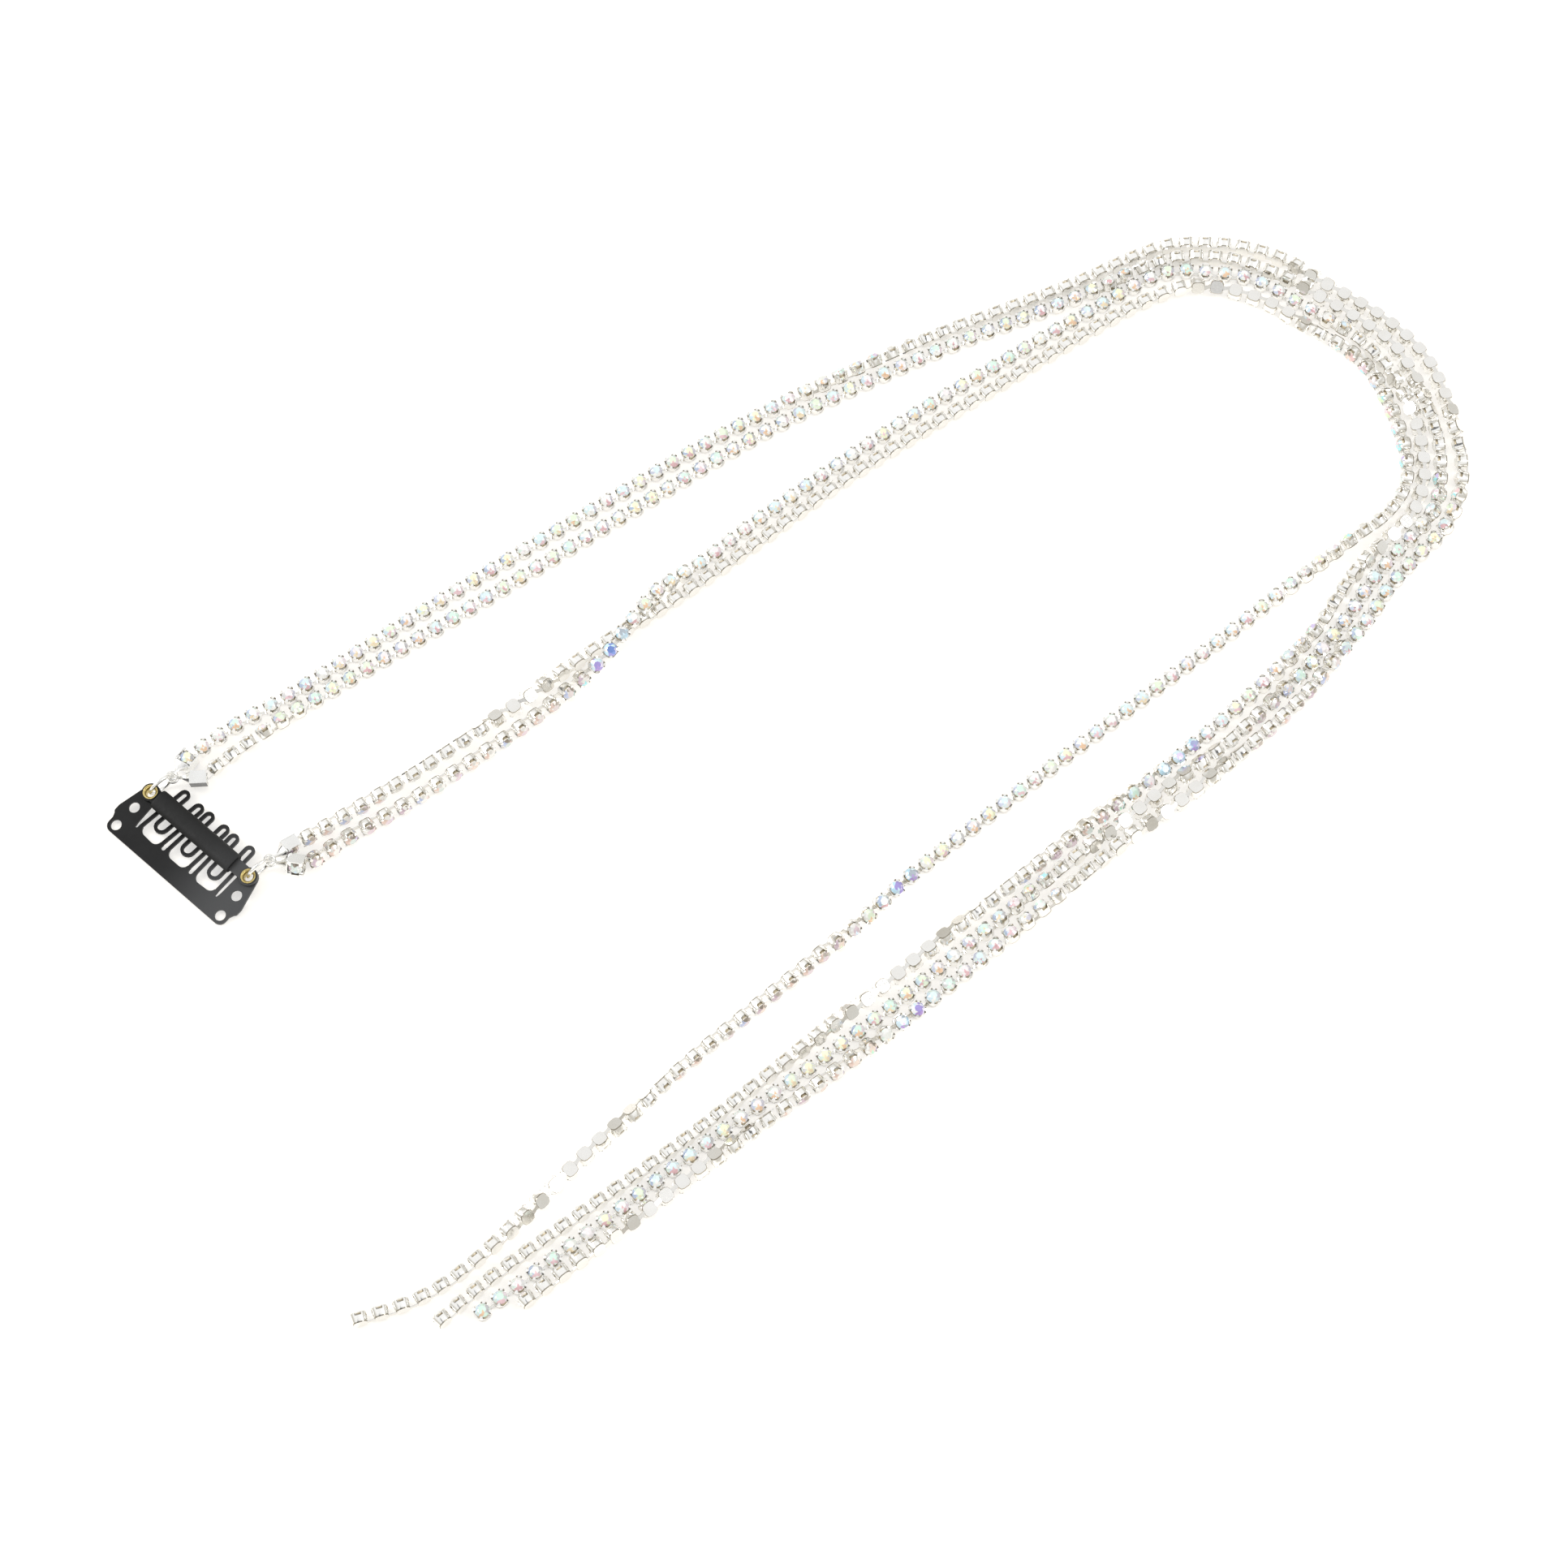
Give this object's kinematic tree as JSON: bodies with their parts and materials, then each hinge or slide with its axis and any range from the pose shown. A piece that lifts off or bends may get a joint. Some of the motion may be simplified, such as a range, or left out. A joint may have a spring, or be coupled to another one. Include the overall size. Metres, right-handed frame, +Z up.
{
  "type": "hair chain",
  "caption": "Black snap comb clip with long strands of silver crystal cup chain hung from its two jump rings, worn draped over the hair.",
  "frame": {"origin": "on the surface that the chain lies on, below the middle of the layout's outline", "axes": "+X along the long side of the layout, away from the clip; +Y across it; +Z up from the surface"},
  "size_m": [0.2788, 0.2466, 0.0064],
  "materials": {
    "black_enamel": "satin black enamel",
    "rubber": "matte",
    "brass": "dull",
    "silver": "bright silver plate",
    "cup_chain": "bright silver plate with crystals",
    "crystal": "faceted, rainbow coated"
  },
  "bodies": {
    "root": {"comb_plate": "black_enamel", "flat_bar": "black_enamel", "grip_sleeve": "rubber", "eyelet_left": "brass", "eyelet_right": "brass", "jump_ring_left": "silver", "jump_ring_right": "silver", "end_cap_a": "silver", "end_cap_b": "silver", "end_cap_c": "silver", "end_cap_d": "silver", "strand_a": "cup_chain", "strand_b": "cup_chain", "strand_c": "cup_chain", "strand_d": "cup_chain"}
  },
  "joints": []
}
